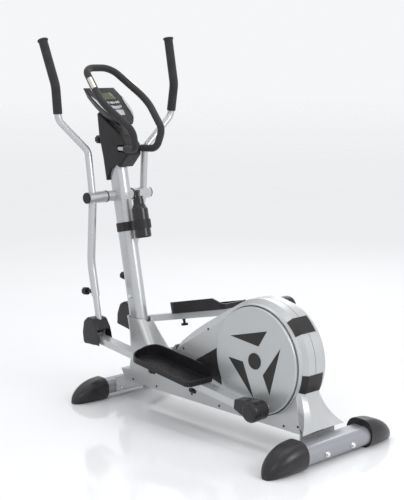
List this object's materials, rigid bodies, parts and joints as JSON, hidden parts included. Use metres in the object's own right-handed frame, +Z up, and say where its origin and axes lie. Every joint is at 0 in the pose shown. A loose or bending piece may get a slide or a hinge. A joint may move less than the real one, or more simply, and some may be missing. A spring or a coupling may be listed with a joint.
{
  "type": "elliptical trainer",
  "caption": "Front-swing elliptical trainer with crank discs in a rear drive housing, coupled swing arms and pedal bars, a leaning post, a console and a loop handlebar.",
  "frame": {"origin": "on the floor, under the middle of the machine", "axes": "+X the way the user faces, +Y the user's left, +Z up"},
  "size_m": [1.486, 0.716, 1.6097],
  "materials": {
    "silver_paint": "satin metallic",
    "foot_paint": "satin metallic, slightly blue",
    "silver_plastic": "metallic silver",
    "dark_plastic": "fine grain",
    "dark_foam": "closed-cell foam",
    "steel": "bare",
    "zinc": "zinc plated",
    "plates": "polished",
    "screen": "grey-green display",
    "keys": "metallic silver",
    "pulley": "moulded",
    "iron": "turned",
    "belt": "ribbed",
    "bottle": "satin"
  },
  "bodies": {
    "frame": {"main_frame": "silver_paint", "front_stabilizer": "foot_paint", "rear_stabilizer": "foot_paint", "front_end_caps": "dark_plastic", "rear_end_caps": "dark_plastic", "frame_bolts": "zinc", "left_casing": "silver_plastic", "right_casing": "silver_plastic", "left_front_cover": "silver_plastic", "right_front_cover": "silver_plastic", "casing_strips": "dark_plastic", "casing_screws": "dark_plastic", "upright_post": "silver_paint", "bracket_frame": "steel", "left_bracket_cover": "dark_plastic", "right_bracket_cover": "dark_plastic", "console_body": "dark_plastic", "console_trims": "silver_plastic", "console_screen": "screen", "loop_handlebar": "steel", "loop_foam": "dark_foam", "pulse_plates": "plates", "bottle_holder": "dark_plastic", "pivot_axle": "silver_paint", "pivot_caps": "dark_plastic", "crank_bearings": "steel", "flywheel_axle": "steel", "drive_belt": "belt"},
    "crank": {"crank_axle": "steel", "left_crank_disc": "silver_plastic", "right_crank_disc": "silver_plastic", "left_disc_inserts": "dark_plastic", "right_disc_inserts": "dark_plastic", "drive_pulley": "pulley"},
    "flywheel": {"flywheel": "iron"},
    "bottle": {"bottle": "bottle"},
    "tilt_knob": {"tilt_knob": "dark_plastic"},
    "left_arm": {"left_handle_tube": "silver_paint", "left_handle_grip": "dark_foam", "left_lower_leg": "silver_paint", "left_joint_cover": "dark_plastic"},
    "left_bar": {"left_pedal_bar": "silver_paint", "left_crank_cover": "dark_plastic", "left_pedal": "dark_plastic", "left_pedal_knobs": "dark_plastic"},
    "left_leg_knob": {"left_leg_knob": "dark_plastic"},
    "right_arm": {"right_handle_tube": "silver_paint", "right_handle_grip": "dark_foam", "right_lower_leg": "silver_paint", "right_joint_cover": "dark_plastic"},
    "right_bar": {"right_pedal_bar": "silver_paint", "right_crank_cover": "dark_plastic", "right_pedal": "dark_plastic", "right_pedal_knobs": "dark_plastic"},
    "right_leg_knob": {"right_leg_knob": "dark_plastic"},
    "left_key": {"left_key": "keys"},
    "middle_key": {"middle_key": "keys"},
    "right_key": {"right_key": "keys"},
    "arc_key": {"arc_key": "keys"},
    "tip_key": {"tip_key": "keys"}
  },
  "joints": [
    {"name": "crank_spin", "type": "hinge", "parent": "frame", "child": "crank", "pos_m": [-0.36, 0, 0.333], "axis": [0, 1, 0], "continuous": true},
    {"name": "flywheel_spin", "type": "hinge", "parent": "frame", "child": "flywheel", "pos_m": [-0.054, 0, 0.238], "axis": [0, 1, 0], "continuous": true},
    {"name": "bottle_lift", "type": "slide", "parent": "frame", "child": "bottle", "axis": [0.1992, 0, 0.98], "range_m": [0, 0.1]},
    {"name": "tilt_knob_turn", "type": "hinge", "parent": "frame", "child": "tilt_knob", "pos_m": [0.686, 0, 1.148], "axis": [1, 0, 0], "continuous": true},
    {"name": "left_swing", "type": "hinge", "parent": "frame", "child": "left_arm", "pos_m": [0.582, 0, 0.904], "axis": [0, -1, 0], "range_deg": [-10, 21.5]},
    {"name": "left_bar_joint", "type": "hinge", "parent": "left_arm", "child": "left_bar", "pos_m": [0.56251, 0.15, 0.2778], "axis": [0, -1, 0], "range_deg": [-21.5, 10]},
    {"name": "left_leg_knob_turn", "type": "hinge", "parent": "left_arm", "child": "left_leg_knob", "pos_m": [0.59448, 0.146, 0.47956], "axis": [0.9949, 0, -0.1011], "continuous": true},
    {"name": "right_swing", "type": "hinge", "parent": "frame", "child": "right_arm", "pos_m": [0.582, 0, 0.904], "axis": [0, -1, 0], "range_deg": [-21.5, 10]},
    {"name": "right_bar_joint", "type": "hinge", "parent": "right_arm", "child": "right_bar", "pos_m": [0.68827, -0.15, 0.28658], "axis": [0, -1, 0], "range_deg": [-10, 21.5]},
    {"name": "right_leg_knob_turn", "type": "hinge", "parent": "right_arm", "child": "right_leg_knob", "pos_m": [0.6792, -0.146, 0.49065], "axis": [0.995, 0, 0.1001], "continuous": true},
    {"name": "left_key_press", "type": "slide", "parent": "frame", "child": "left_key", "axis": [0.5807, 0, -0.8141], "range_m": [0, 0.002], "stiffness_N_per_m": 400, "springref_m": -0.001},
    {"name": "middle_key_press", "type": "slide", "parent": "frame", "child": "middle_key", "axis": [0.5807, 0, -0.8141], "range_m": [0, 0.002], "stiffness_N_per_m": 400, "springref_m": -0.001},
    {"name": "right_key_press", "type": "slide", "parent": "frame", "child": "right_key", "axis": [0.5807, 0, -0.8141], "range_m": [0, 0.002], "stiffness_N_per_m": 400, "springref_m": -0.001},
    {"name": "arc_key_press", "type": "slide", "parent": "frame", "child": "arc_key", "axis": [0.5807, 0, -0.8141], "range_m": [0, 0.002], "stiffness_N_per_m": 400, "springref_m": -0.001},
    {"name": "tip_key_press", "type": "slide", "parent": "frame", "child": "tip_key", "axis": [0.5807, 0, -0.8141], "range_m": [0, 0.002], "stiffness_N_per_m": 400, "springref_m": -0.001}
  ],
  "couplings": [
    {"joint": "flywheel_spin", "follows": "crank_spin", "ratio": 7.4039},
    {"joint": "right_swing", "follows": "left_swing", "ratio": -1},
    {"joint": "left_bar_joint", "follows": "left_swing", "ratio": -1},
    {"joint": "right_bar_joint", "follows": "left_swing", "ratio": 1}
  ]
}
